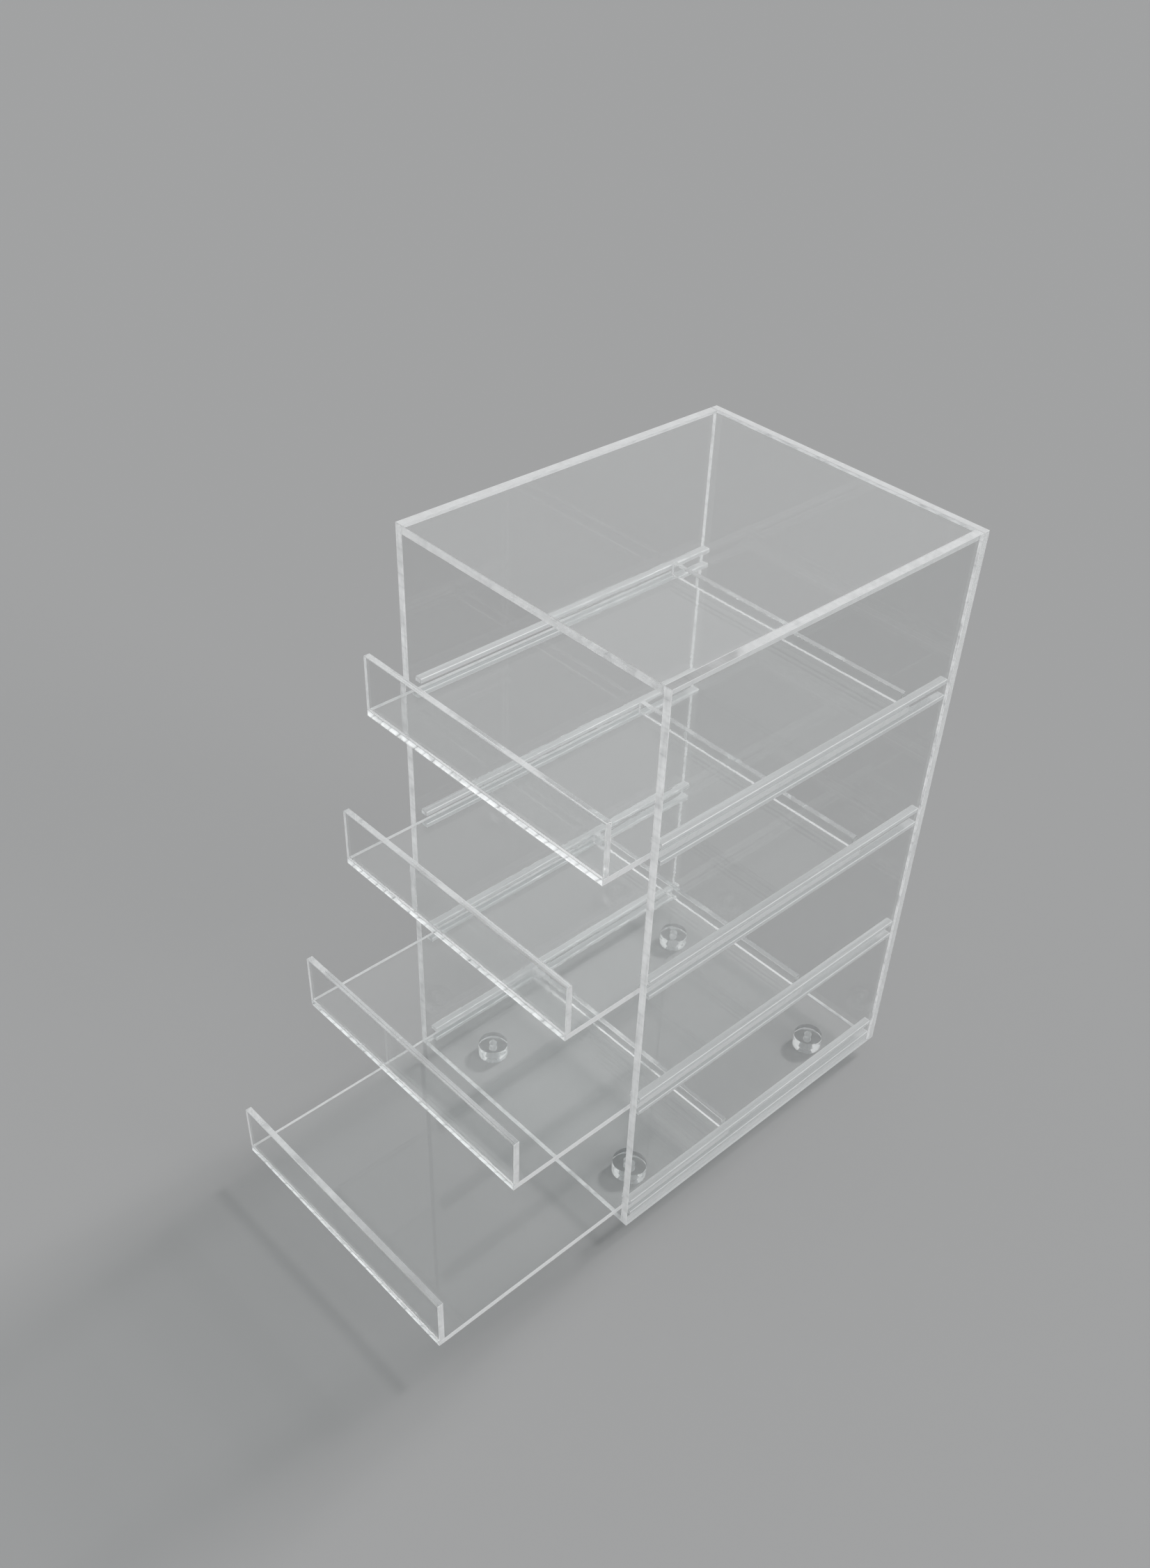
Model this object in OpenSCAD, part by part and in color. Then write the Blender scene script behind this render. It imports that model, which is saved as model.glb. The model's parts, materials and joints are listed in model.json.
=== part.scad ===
// Clear sheet cabinet, open at the front, with four pull-out trays on glued runner strips.
// Millimetres, +Z up, front towards -Y. The origin is on the floor, under the middle of the
// whole object with its trays pulled out.

/* [Cabinet] */
// outside width of the cabinet
cabinet_w = 200; // [150:1:300]
// outside depth of the cabinet, front edges to back face
cabinet_d = 240; // [180:1:320]
// height of the panels, without the feet
cabinet_h = 390; // [330:1:500]
// thickness of the clear sheet that the cabinet's panels are cut from
sheet_t = 5; // [4:0.5:6]

/* [Runners] */
// how far a runner strip stands out from the side panel
runner_w = 5; // [4.5:0.25:8]
// height of one runner strip
runner_h = 3; // [2.5:0.25:5]
// height that a slot has over the tray base it holds
slot_play = 3.6; // [1:0.1:5]
// running gap between a tray base and the strips it slides on
slide_gap = 0.3; // [0.2:0.05:0.5]
// gap between a shut tray's front lip and the ends of the runners
runner_end_gap = 0.4; // [0.3:0.1:1]
// height that the top bay has over the other bays
top_bay_extra = 5; // [2:0.5:20]

/* [Trays] */
// thickness of the clear sheet that the trays are cut from
tray_t = 4; // [3:0.5:5]
// gap between a tray and the side panel, each side
tray_side_gap = 2; // [1:0.25:3]
// gap between a shut tray and the back panel
tray_back_gap = 1; // [0.5:0.25:3]
// height of the front lip over the tray base
front_lip_h = 34; // [15:1:45]
// height of the rear lip over the tray base
rear_lip_h = 8; // [6:0.5:14]
// gap between an end of the rear lip and the runner beside it
rear_lip_gap = 1; // [0.5:0.25:3]
// how far the top tray is pulled out
pull_1 = 30; // [0:1:120]
// how far the second tray is pulled out
pull_2 = 51; // [0:1:120]
// how far the third tray is pulled out
pull_3 = 85; // [0:1:120]
// how far the bottom tray is pulled out
pull_4 = 139; // [0:1:150]

/* [Feet] */
// diameter of a foot
foot_d = 20; // [14:0.5:28]
// height of a foot
foot_h = 10; // [5:0.5:14]
// diameter of the hole up the middle of a foot
foot_hole_d = 5; // [3:0.25:8]
// broken edge round a foot's rims
foot_edge = 0.6; // [0.3:0.1:1.2]
// centre of a foot from the nearest outside faces of the cabinet
foot_inset = 34; // [20:1:45]

/* [Hidden] */
$fn = 96;
sheet_colour = [0.85, 0.92, 0.93, 0.45];
strip_colour = [0.78, 0.87, 0.89, 0.55];
foot_colour = [0.80, 0.86, 0.90, 0.55];
levels = 4;
sides = ["left", "right"];
places = ["upper", "lower"];
ends = ["front", "back"];
pulls = [pull_1, pull_2, pull_3, pull_4];
half_w = cabinet_w / 2;
inner_w = cabinet_w - 2 * sheet_t;
front_y = (max(pulls) - cabinet_d) / 2;
back_y = front_y + cabinet_d;
inner_back_y = back_y - sheet_t;
floor_z = foot_h + sheet_t;
top_z = foot_h + cabinet_h;
ceiling_z = top_z - sheet_t;
pitch = (ceiling_z - floor_z - runner_h - top_bay_extra) / levels;
slot_h = tray_t + slot_play;
runner_front_y = front_y + tray_t + runner_end_gap;
tray_w = inner_w - 2 * tray_side_gap;
tray_d = cabinet_d - sheet_t - tray_back_gap;
rear_lip_w = inner_w - 2 * runner_w - 2 * rear_lip_gap;

function runner_name(level, side, place) = str("runner_", level, "_", side, "_", place);
function foot_name(end, side) = str("foot_", end, "_", side);
function tray_name(level, piece) = str("tray_", level, "_", piece);
function side_sign(side) = side == "left" ? -1 : 1;
function end_sign(end) = end == "front" ? -1 : 1;
// level 1 is the top tray, level 4 the bottom one
function slot_z(level) = floor_z + runner_h + (levels - level) * pitch;
function tray_z(level) = slot_z(level) + slide_gap;
function tray_front_y(level) = front_y - pulls[level - 1];

module block(low, high) {
  translate(low) cube(high - low);
}

module side_sheet(side) {
  outer_x = side_sign(side) * half_w;
  inner_x = side_sign(side) * inner_w / 2;
  low = [min(outer_x, inner_x), front_y, foot_h];
  high = [max(outer_x, inner_x), inner_back_y, top_z];
  color(sheet_colour) block(low, high);
}

module level_sheet(low_z) {
  low = [-inner_w / 2, front_y, low_z];
  high = [inner_w / 2, inner_back_y, low_z + sheet_t];
  color(sheet_colour) block(low, high);
}

module runner(level, side, place) {
  wall_x = side_sign(side) * inner_w / 2;
  free_x = side_sign(side) * (inner_w / 2 - runner_w);
  low_z = place == "upper" ? slot_z(level) + slot_h : slot_z(level) - runner_h;
  low = [min(wall_x, free_x), runner_front_y, low_z];
  high = [max(wall_x, free_x), inner_back_y, low_z + runner_h];
  color(strip_colour) block(low, high);
}

module foot(end, side) {
  foot_x = side_sign(side) * (half_w - foot_inset);
  foot_y = (front_y + back_y) / 2 + end_sign(end) * (cabinet_d / 2 - foot_inset);
  rim = foot_d / 2;
  hole = foot_hole_d / 2;
  color(foot_colour) translate([foot_x, foot_y, 0]) rotate_extrude() polygon([
    [hole + foot_edge, 0],
    [rim - foot_edge, 0],
    [rim, foot_edge],
    [rim, foot_h - foot_edge],
    [rim - foot_edge, foot_h],
    [hole, foot_h],
    [hole, foot_edge]
  ]);
}

module tray_base(level) {
  y = tray_front_y(level);
  z = tray_z(level);
  color(sheet_colour) block([-tray_w / 2, y, z], [tray_w / 2, y + tray_d, z + tray_t]);
}

module tray_front_lip(level) {
  y = tray_front_y(level);
  z = tray_z(level) + tray_t;
  color(sheet_colour) block([-tray_w / 2, y, z], [tray_w / 2, y + tray_t, z + front_lip_h]);
}

module tray_rear_lip(level) {
  y = tray_front_y(level) + tray_d;
  z = tray_z(level) + tray_t;
  color(sheet_colour) block([-rear_lip_w / 2, y - tray_t, z], [rear_lip_w / 2, y, z + rear_lip_h]);
}

module left_panel() {
  side_sheet("left");
}

module right_panel() {
  side_sheet("right");
}

module top_panel() {
  level_sheet(ceiling_z);
}

module bottom_panel() {
  level_sheet(foot_h);
}

module back_panel() {
  color(sheet_colour) block([-half_w, inner_back_y, foot_h], [half_w, back_y, top_z]);
}

left_panel();
right_panel();
top_panel();
bottom_panel();
back_panel();
for (level = [1:levels], side = sides, place = places)
  runner(level, side, place);
for (end = ends, side = sides)
  foot(end, side);
for (level = [1:levels]) {
  tray_base(level);
  tray_front_lip(level);
  tray_rear_lip(level);
}
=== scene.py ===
import json
import math

import bpy
from mathutils import Matrix, Vector


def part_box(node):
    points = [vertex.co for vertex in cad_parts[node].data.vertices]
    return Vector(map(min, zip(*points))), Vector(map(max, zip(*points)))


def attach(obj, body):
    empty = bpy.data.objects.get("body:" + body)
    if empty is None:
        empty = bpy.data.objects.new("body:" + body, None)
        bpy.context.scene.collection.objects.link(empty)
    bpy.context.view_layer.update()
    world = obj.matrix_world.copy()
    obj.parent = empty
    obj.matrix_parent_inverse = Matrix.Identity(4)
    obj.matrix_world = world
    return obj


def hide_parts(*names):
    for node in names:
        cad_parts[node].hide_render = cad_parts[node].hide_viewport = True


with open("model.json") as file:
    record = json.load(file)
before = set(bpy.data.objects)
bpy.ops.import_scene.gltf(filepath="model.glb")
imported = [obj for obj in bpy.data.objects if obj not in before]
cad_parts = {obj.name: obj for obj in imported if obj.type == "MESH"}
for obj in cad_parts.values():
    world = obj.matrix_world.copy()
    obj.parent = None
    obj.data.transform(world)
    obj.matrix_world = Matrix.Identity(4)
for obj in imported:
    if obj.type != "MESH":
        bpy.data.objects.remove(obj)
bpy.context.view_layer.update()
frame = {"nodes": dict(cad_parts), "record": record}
scene = bpy.context.scene
print("frame loaded:", len(frame["nodes"]), "nodes")


def clearSelection():
    if bpy.context.object and bpy.context.object.mode != "OBJECT":
        bpy.ops.object.mode_set(mode="OBJECT")
    bpy.ops.object.select_all(action="DESELECT")


def pickFaces(piece, wanted):
    # ends in edit mode with only the wanted faces selected
    bpy.ops.object.mode_set(mode="EDIT")
    bpy.ops.mesh.select_mode(type="FACE")
    bpy.ops.mesh.select_all(action="DESELECT")
    bpy.ops.object.mode_set(mode="OBJECT")
    for face in piece.data.polygons:
        face.select = wanted(face)
    bpy.ops.object.mode_set(mode="EDIT")


# a shader socket that can be used in sums
class Wire:
    def __init__(self, tree, socket=None):
        self.tree = tree
        self.socket = socket

    def node(self, kind, settings=None, inputs=None, out=0):
        made = self.tree.nodes.new(kind)
        for key, value in (settings or {}).items():
            if key == "stops":
                # a new ramp has two stops, and no ramp here needs more
                for stop, (place, tone) in zip(made.color_ramp.elements, value):
                    stop.position = place
                    stop.color = (*tone, 1)
            else:
                setattr(made, key, value)
        for key, value in (inputs or {}).items():
            if isinstance(value, Wire):
                self.tree.links.new(value.socket, made.inputs[key])
            else:
                made.inputs[key].default_value = value
        return Wire(self.tree, made.outputs[out] if made.outputs else None)

    def twin(self, out):
        # another output of the same node
        return Wire(self.tree, self.socket.node.outputs[out])

    def maths(self, operation, other=0.0, swap=False):
        first, second = (other, self) if swap else (self, other)
        return self.node("ShaderNodeMath", {"operation": operation}, {0: first, 1: second})

    def __add__(self, other):
        return self.maths("ADD", other)

    def __sub__(self, other):
        return self.maths("SUBTRACT", other)

    def __rsub__(self, other):
        return self.maths("SUBTRACT", other, True)

    def __mul__(self, other):
        return self.maths("MULTIPLY", other)

    __radd__ = __add__
    __rmul__ = __mul__

    def span(self, low, high):
        # 0 below low, 1 above high
        return self.node("ShaderNodeMapRange", None, {"Value": self, "From Min": low, "From Max": high})

    def ramp(self, *stops):
        return self.node("ShaderNodeValToRGB", {"stops": stops}, {"Fac": self})


def startMaterial(name):
    made = bpy.data.materials.new(name)
    made.use_nodes = True
    made.node_tree.nodes.clear()
    return made, Wire(made.node_tree)


def grain(board, stretch, scale, detail=3.0):
    # noise on Object coordinates, drawn out along the axes with a small stretch
    place = board.node("ShaderNodeTexCoord", out="Object")
    drawn = board.node("ShaderNodeMapping", None, {"Vector": place, "Scale": stretch})
    return board.node("ShaderNodeTexNoise", None, {"Vector": drawn, "Scale": scale, "Detail": detail})


def finishMaterial(board, shader, veil=None):
    # with a veil, lamps and bounced light pass straight through, so that what lies behind stays lit
    if veil:
        path = board.node("ShaderNodeLightPath", out="Is Shadow Ray")
        passing = path.maths("MAXIMUM", path.twin("Is Diffuse Ray"))
        straight = board.node("ShaderNodeBsdfTransparent", None, {"Color": veil})
        shader = board.node("ShaderNodeMixShader", None, {0: passing, 1: shader, 2: straight})
    board.node("ShaderNodeOutputMaterial", None, {"Surface": shader})


clearFacts = {
    "tint": (0.985, 0.99, 0.989, 1),
    "bend": 1.49,
    "smearStretch": (1.0, 1.0, 2.2),
    "smearScale": 14.0,
    "smearSpan": (0.45, 0.75),
    "smearRough": 0.05,
    "scratchStretch": (9.0, 1.0, 5.0),
    "scratchScale": 60.0,
    "scratchDetail": 2.0,
    "scratchBump": {"Strength": 0.02, "Distance": 0.0002},
    "veil": (0.965, 0.968, 0.968, 1),
    "thickVeil": (0.6, 0.61, 0.615, 1),  # for the feet, which darken the floor more
}


def clearSkin(board):
    # polished face with faint wiping smears and hairline scratches
    smear = grain(board, clearFacts["smearStretch"], clearFacts["smearScale"]).span(*clearFacts["smearSpan"])
    scratch = grain(board, clearFacts["scratchStretch"], clearFacts["scratchScale"], clearFacts["scratchDetail"])
    dent = board.node("ShaderNodeBump", None, {**clearFacts["scratchBump"], "Height": scratch})
    return board.node(
        "ShaderNodeBsdfPrincipled",
        None,
        {
            "Base Color": clearFacts["tint"],
            "Roughness": smear * clearFacts["smearRough"],
            "Normal": dent,
            "IOR": clearFacts["bend"],
            "Transmission Weight": 1.0,
        },
    )


def clearFinish(name, veil):
    made, board = startMaterial(name)
    finishMaterial(board, clearSkin(board), veil)
    return made


frostFacts = {
    "dark": (0.64, 0.66, 0.665),
    "light": (0.965, 0.97, 0.972),
    "bump": {"Strength": 0.2, "Distance": 0.0003},
    "veil": (0.8, 0.81, 0.81, 1),
}


def frostSkin(board, shade, rough, streak, glow):
    # dull white skin, dented by its streaks, that also glows with the light behind it, less where it is darker
    tone = shade.ramp((0.0, frostFacts["dark"]), (1.0, frostFacts["light"]))
    dent = board.node("ShaderNodeBump", None, {**frostFacts["bump"], "Height": streak})
    skin = board.node(
        "ShaderNodeBsdfPrincipled",
        None,
        {"Base Color": tone, "Roughness": rough, "Normal": dent, "IOR": clearFacts["bend"]},
    )
    white = (*frostFacts["light"], 1)
    behind = board.node("ShaderNodeBsdfTranslucent", None, {"Color": white, "Normal": dent})
    return board.node("ShaderNodeMixShader", None, {0: shade * glow, 1: skin, 2: behind})


sawnFacts = {
    "streakAcross": 900.0,
    "streakAlong": 40.0,
    "blotchScale": 150.0,
    "shadeSpan": (0.2, 0.55),
    "toothGap": 0.0074,
    "toothSpan": (0.88, 1.0),
    "halfToothSpan": (0.9, 1.0),  # a fainter mark between two others
    "halfToothShare": 0.4,
    "lean": (0.0, 0.15, -0.9),
    "wander": 2.0,  # how far the blotches push the marks about
    "wearScale": 34.0,
    "rough": (0.45, 0.65),
}


def sawnFinish(name, along, glow, bite, wear=None):
    # dull edge left by the saw: streaks along the cut, and tooth marks across it as deep as bite
    # glow is the share of the light behind it
    # wear is the noise at which the edge is all polish and all dull, and the drift of that along it
    made, board = startMaterial(name)
    stretch = [sawnFacts["streakAcross"]] * 3
    stretch[along] = sawnFacts["streakAlong"]
    streak = grain(board, stretch, 1.0)
    blotch = grain(board, (1, 1, 1), sawnFacts["blotchScale"])
    place = board.node("ShaderNodeSeparateXYZ", None, {0: board.node("ShaderNodeTexCoord", out="Object")})
    axes = [place.twin(axis) for axis in "XYZ"]
    run = axes[along]
    for across in (along - 2, along - 1):
        run = run + axes[across] * sawnFacts["lean"][across]
    phase = run * (2 * math.pi / sawnFacts["toothGap"]) + blotch * sawnFacts["wander"]
    halfTooth = (phase * 2.0).maths("SINE").span(*sawnFacts["halfToothSpan"])
    tooth = phase.maths("SINE").span(*sawnFacts["toothSpan"]) + halfTooth * sawnFacts["halfToothShare"]
    shade = streak.span(*sawnFacts["shadeSpan"]) * 0.5 + blotch.span(*sawnFacts["shadeSpan"]) * 0.5 - tooth * bite
    least, most = sawnFacts["rough"]
    shader = frostSkin(board, shade, streak * (most - least) + least, streak, glow)
    if wear:
        low, high, drift = wear
        patch = (grain(board, (1, 1, 1), sawnFacts["wearScale"]) + axes[along] * drift).span(low, high)
        shader = board.node("ShaderNodeMixShader", None, {0: patch, 1: clearSkin(board), 2: shader})
    finishMaterial(board, shader, frostFacts["veil"])
    return made


stripFacts = {
    "streakStretch": (620.0, 8.0, 620.0),
    "streakDetail": 2.0,
    "shadeSpan": (0.1, 0.7),
    "frost": (0.7, 0.95),
    "glow": 0.6,
    "rough": 0.4,
    "arris": 0.0003,
}


def stripFinish(name):
    # milky bar, streaked along its length
    made, board = startMaterial(name)
    streak = grain(board, stripFacts["streakStretch"], 1.0, stripFacts["streakDetail"])
    shade = streak.span(*stripFacts["shadeSpan"])
    frost = frostSkin(board, shade, stripFacts["rough"], streak, stripFacts["glow"])
    least, most = stripFacts["frost"]
    milk = shade * (most - least) + least
    mixed = board.node("ShaderNodeMixShader", None, {0: milk, 1: clearSkin(board), 2: frost})
    finishMaterial(board, mixed, frostFacts["veil"])
    return made


# along is the axis that an edge runs along: 0, 1 or 2 for X, Y or Z
edgeFacts = {
    "sawnEdgeX": {"along": 0, "glow": 0.5, "bite": 0.25},
    "sawnEdgeY": {"along": 1, "glow": 0.5, "bite": 0.25},
    "sawnEdgeZ": {"along": 2, "glow": 0.5, "bite": 0.25},
    "litEdgeY": {"along": 1, "glow": 0.1, "bite": 0.1},
    "litEdgeZ": {"along": 2, "glow": 0.1, "bite": 0.1},
    "brightEdge": {"along": 0, "glow": 1.0, "bite": 0.5},
    "smoothEdge": {"along": 0, "glow": 0.3, "bite": 0.0, "wear": (0.1, 1.6, -1.2)},
    "wornEdge": {"along": 0, "glow": 0.4, "bite": 0.4, "wear": (0.52, 0.7, -1.2)},
    "glueSeam": {"along": 0, "glow": 0.5, "bite": 0.5, "wear": (0.25, 0.75, -1.2)},
    "faintSeam": {"along": 0, "glow": 0.5, "bite": 0.5, "wear": (0.45, 1.1, -1.2)},
    "hazyAlong": {"along": 1, "glow": 0.4, "bite": 0.3, "wear": (-0.5, 1.4, 0.6)},
    "hazyUpright": {"along": 2, "glow": 0.4, "bite": 0.3, "wear": (-0.65, 1.2, -1.2)},
    "fadedUpright": {"along": 2, "glow": 0.9, "bite": 0.3, "wear": (-0.2, 0.75, -1.2)},
}
clearSheet = clearFinish("clearSheet", clearFacts["veil"])
clearDisc = clearFinish("clearDisc", clearFacts["thickVeil"])
edges = {name: sawnFinish(name, **facts) for name, facts in edgeFacts.items()}
sawnEdges = [edges["sawnEdge" + axis] for axis in "XYZ"]
milkyStrip = stripFinish("milkyStrip")
print("finishes made")

bodyOf = {node: body for body, nodes in frame["record"]["behaviour"]["bodies"].items() for node in nodes}
seam = Vector((0.00004,) * 3)  # hair of air round each piece, so that glued faces don't coincide
squareOn = 0.5  # a face counts as facing a way if its normal goes further than this along it


def roomFor(node):
    low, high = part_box(node)
    return low + seam, high - seam


def assignFinish(piece, finish, wanted):
    piece.data.materials.append(finish)
    pickFaces(piece, wanted)
    piece.active_material_index = len(piece.data.materials) - 1
    bpy.ops.object.material_slot_assign()
    bpy.ops.object.mode_set(mode="OBJECT")


def roundEdges(piece, width, steps, finish=-1):
    # finish is the slot that the new faces take, or -1 for the one beside them
    bpy.ops.object.modifier_add(type="BEVEL")
    rounding = piece.modifiers[-1]
    rounding.width = width
    rounding.segments = steps
    rounding.limit_method = "ANGLE"
    rounding.material = finish
    bpy.ops.object.modifier_apply(modifier=rounding.name)


def settle(piece, node):
    piece.name = piece.data.name = node + "_clear"
    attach(piece, bodyOf[node])
    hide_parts(node)


def repeat(piece, node, *others):
    # the modelled piece takes the first node's place, and a copy of it each other one
    settle(piece, node)
    for other in others:
        clearSelection()
        piece.select_set(True)
        bpy.context.view_layer.objects.active = piece
        bpy.ops.object.duplicate()
        copy = bpy.context.object
        bpy.ops.transform.translate(value=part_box(other)[0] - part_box(node)[0])
        bpy.ops.object.transform_apply(location=True, rotation=True, scale=True)
        settle(copy, other)


sheetFacts = {"arris": 0.0002, "arrisSteps": 2}
# the third slot gives the runners' rounded edges their painted highlight
clearSlot, sawnSlot, paintedHighlightSlot = 0, 1, 2  # slots that a broken edge can take its finish from
facings = {
    "left": Vector((-1, 0, 0)),
    "right": Vector((1, 0, 0)),
    "front": Vector((0, -1, 0)),
    "back": Vector((0, 1, 0)),
    "under": Vector((0, 0, -1)),
    "top": Vector((0, 0, 1)),
}


def startSheet(node):
    low, high = roomFor(node)
    clearSelection()
    bpy.ops.mesh.primitive_cube_add(size=1, location=(low + high) / 2)
    piece = bpy.context.object
    bpy.ops.transform.resize(value=high - low)
    bpy.ops.object.transform_apply(location=True, rotation=True, scale=True)
    return piece, high - low


def makeSheet(nodes, specials, arrisSlot=sawnSlot):
    # polished faces, and two pairs of sawn edges streaked along their length, but for the special ones
    piece, size = startSheet(nodes[0])
    wide, long = sorted(range(3), key=lambda axis: size[axis])[1:]
    piece.data.materials.append(clearSheet)
    assignFinish(piece, sawnEdges[long], lambda face: abs(face.normal[wide]) > squareOn)
    assignFinish(piece, sawnEdges[wide], lambda face: abs(face.normal[long]) > squareOn)
    for side, name in specials.items():
        assignFinish(piece, edges[name], lambda face: face.normal.dot(facings[side]) > squareOn)
    roundEdges(piece, sheetFacts["arris"], sheetFacts["arrisSteps"], arrisSlot)
    repeat(piece, *nodes)


panelEdges = {
    "left_panel": {"front": "hazyUpright"},
    "right_panel": {"front": "hazyUpright", "top": "hazyAlong"},
    "top_panel": {"front": "smoothEdge", "left": "litEdgeY"},
    "bottom_panel": {"left": "litEdgeY"},
    "back_panel": {"left": "litEdgeZ", "right": "fadedUpright"},
}
for node, specials in panelEdges.items():
    makeSheet([node], specials)
print("panels made")

trayLevels = (1, 2, 3, 4)
trayEdges = {
    "base": {"front": "brightEdge", "back": "faintSeam", "left": "litEdgeY"},
    "front_lip": {"top": "wornEdge", "under": "glueSeam", "left": "litEdgeZ", "right": "hazyUpright"},
    "rear_lip": {"top": "wornEdge", "under": "faintSeam", "left": "litEdgeZ", "right": "hazyUpright"},
}
trayArris = {"base": sawnSlot, "front_lip": sawnSlot, "rear_lip": clearSlot}
for part, specials in trayEdges.items():
    makeSheet([f"tray_{level}_{part}" for level in trayLevels], specials, trayArris[part])
print("trays made")


def makeRunner(nodes):
    # milky bar with sawn ends, and a whiter finish on its rounded edges as painted highlight lines along them
    piece = startSheet(nodes[0])[0]
    piece.data.materials.append(milkyStrip)
    assignFinish(piece, edges["sawnEdgeZ"], lambda face: abs(face.normal.y) > squareOn)
    # the rounded edges take the whiter litEdgeY finish, a painted highlight that stands for the glints along the
    # bar's edges
    piece.data.materials.append(edges["litEdgeY"])
    roundEdges(piece, stripFacts["arris"], sheetFacts["arrisSteps"], paintedHighlightSlot)
    repeat(piece, *nodes)


makeRunner([node for node in bodyOf if node.startswith("runner")])
print("runners made")

footFacts = {"sides": 64, "bore": 0.0025, "nearBore": 0.003, "rim": 0.0006, "rimSteps": 3, "smoothAngle": 35}


def makeFoot(nodes):
    # clear disc with a frosted bore
    low, high = roomFor(nodes[0])
    middle = (low + high) / 2
    radius = (high.x - low.x) / 2
    clearSelection()
    bpy.ops.mesh.primitive_cylinder_add(
        vertices=footFacts["sides"], radius=radius, depth=high.z - low.z, location=middle
    )
    piece = bpy.context.object
    bpy.ops.object.transform_apply(location=True, rotation=True, scale=True)
    pickFaces(piece, lambda face: abs(face.normal.z) > squareOn)
    bpy.ops.mesh.inset(thickness=radius - footFacts["bore"])
    bpy.ops.mesh.bridge_edge_loops()
    bpy.ops.object.mode_set(mode="OBJECT")
    piece.data.materials.append(clearDisc)
    assignFinish(piece, edges["sawnEdgeZ"], lambda face: (face.center - middle).xy.length < footFacts["nearBore"])
    roundEdges(piece, footFacts["rim"], footFacts["rimSteps"])
    bpy.ops.object.shade_smooth_by_angle(angle=math.radians(footFacts["smoothAngle"]))
    repeat(piece, *nodes)


makeFoot([node for node in bodyOf if node.startswith("foot")])
print("feet made")

cameraFacts = {
    "place": (0.4719, -0.4643, 0.7650),
    "forward": (-0.52008, 0.55206, -0.65173),
    "up": (-0.49749, 0.42444, 0.75654),
    "focalPx": 2146.39,
    "axisPx": (903.81, 1266.31),
    "imagePx": (1652, 2252),
    "sensor": 36,
}


def makeCamera():
    bpy.ops.object.camera_add()
    camera = bpy.context.object
    forward = Vector(cameraFacts["forward"]).normalized()
    right = forward.cross(Vector(cameraFacts["up"])).normalized()
    up = right.cross(forward)
    turn = Matrix((right, up, -forward)).transposed()
    camera.matrix_world = Matrix.Translation(cameraFacts["place"]) @ turn.to_4x4()
    wide, tall = cameraFacts["imagePx"]
    axisX, axisY = cameraFacts["axisPx"]
    camera.data.sensor_width = cameraFacts["sensor"]
    camera.data.lens = cameraFacts["focalPx"] * cameraFacts["sensor"] / tall
    camera.data.shift_x = (wide / 2 - axisX) / tall
    camera.data.shift_y = (axisY - tall / 2) / tall
    scene.camera = camera


makeCamera()
print("camera placed")

stageFacts = {"tone": (0.35, 0.352, 0.354, 1), "size": 60.0}


def makeStage():
    clearSelection()
    bpy.ops.mesh.primitive_plane_add(size=stageFacts["size"])
    floor = bpy.context.object
    floor.name = floor.data.name = "studioFloor"
    made, board = startMaterial("paleFloor")
    finishMaterial(board, board.node("ShaderNodeBsdfDiffuse", None, {"Color": stageFacts["tone"]}))
    floor.data.materials.append(made)


lightFacts = {
    "horizon": (0.35, 0.352, 0.354),
    "dome": (0.31, 0.312, 0.314),
    "domeHeight": 0.7,
    "backdrop": (0.9, 0.905, 0.91),
    "backdropHeight": 0.75,
    "sun": {"aim": (0.0, -0.78, -0.62), "spread": 9.0, "power": 2.8},
    "side": {"aim": (-0.9, -0.3, -0.32), "spread": 20.0, "power": 1.5},
}


def makeLamp(name, facts):
    bpy.ops.object.light_add(type="SUN")
    lamp = bpy.context.object
    lamp.name = lamp.data.name = name
    lamp.data.energy = facts["power"]
    lamp.data.angle = math.radians(facts["spread"])
    lamp.visible_glossy = lamp.visible_transmission = False
    lamp.rotation_euler = Vector(facts["aim"]).to_track_quat("-Z", "Y").to_euler()


def makeLight():
    # a dome that is as bright as the floor where they meet, and soft lamps from the rear and the right
    # the clear sheets and the camera see a brighter backdrop than the one that lights the floor
    world = bpy.data.worlds.new("studio")
    scene.world = world
    world.use_nodes = True
    world.node_tree.nodes.clear()
    board = Wire(world.node_tree)
    aim = board.node("ShaderNodeSeparateXYZ", None, {0: board.node("ShaderNodeTexCoord", out="Generated")})
    height = aim.twin("Z")
    lit = height.ramp((0.0, lightFacts["horizon"]), (lightFacts["domeHeight"], lightFacts["dome"]))
    seen = height.ramp((0.0, lightFacts["horizon"]), (lightFacts["backdropHeight"], lightFacts["backdrop"]))
    path = board.node("ShaderNodeLightPath", out="Is Camera Ray")
    looking = path + path.twin("Is Glossy Ray") + path.twin("Is Transmission Ray")
    # 6, 7 and 2 are the Mix node's sockets for colour
    shown = board.node("ShaderNodeMix", {"data_type": "RGBA"}, {0: looking, 6: lit, 7: seen}, out=2)
    sky = board.node("ShaderNodeBackground", None, {"Color": shown})
    board.node("ShaderNodeOutputWorld", None, {"Surface": sky})
    makeLamp("sunLamp", lightFacts["sun"])
    makeLamp("sideLamp", lightFacts["side"])


rayFacts = {"bounces": 32, "straight": 64}  # a line of sight crosses many clear faces

makeStage()
makeLight()
scene.view_settings.view_transform = "Standard"
scene.cycles.max_bounces = rayFacts["bounces"]
scene.cycles.glossy_bounces = scene.cycles.transmission_bounces = rayFacts["bounces"]
scene.cycles.transparent_max_bounces = rayFacts["straight"]
print("stage and light made")
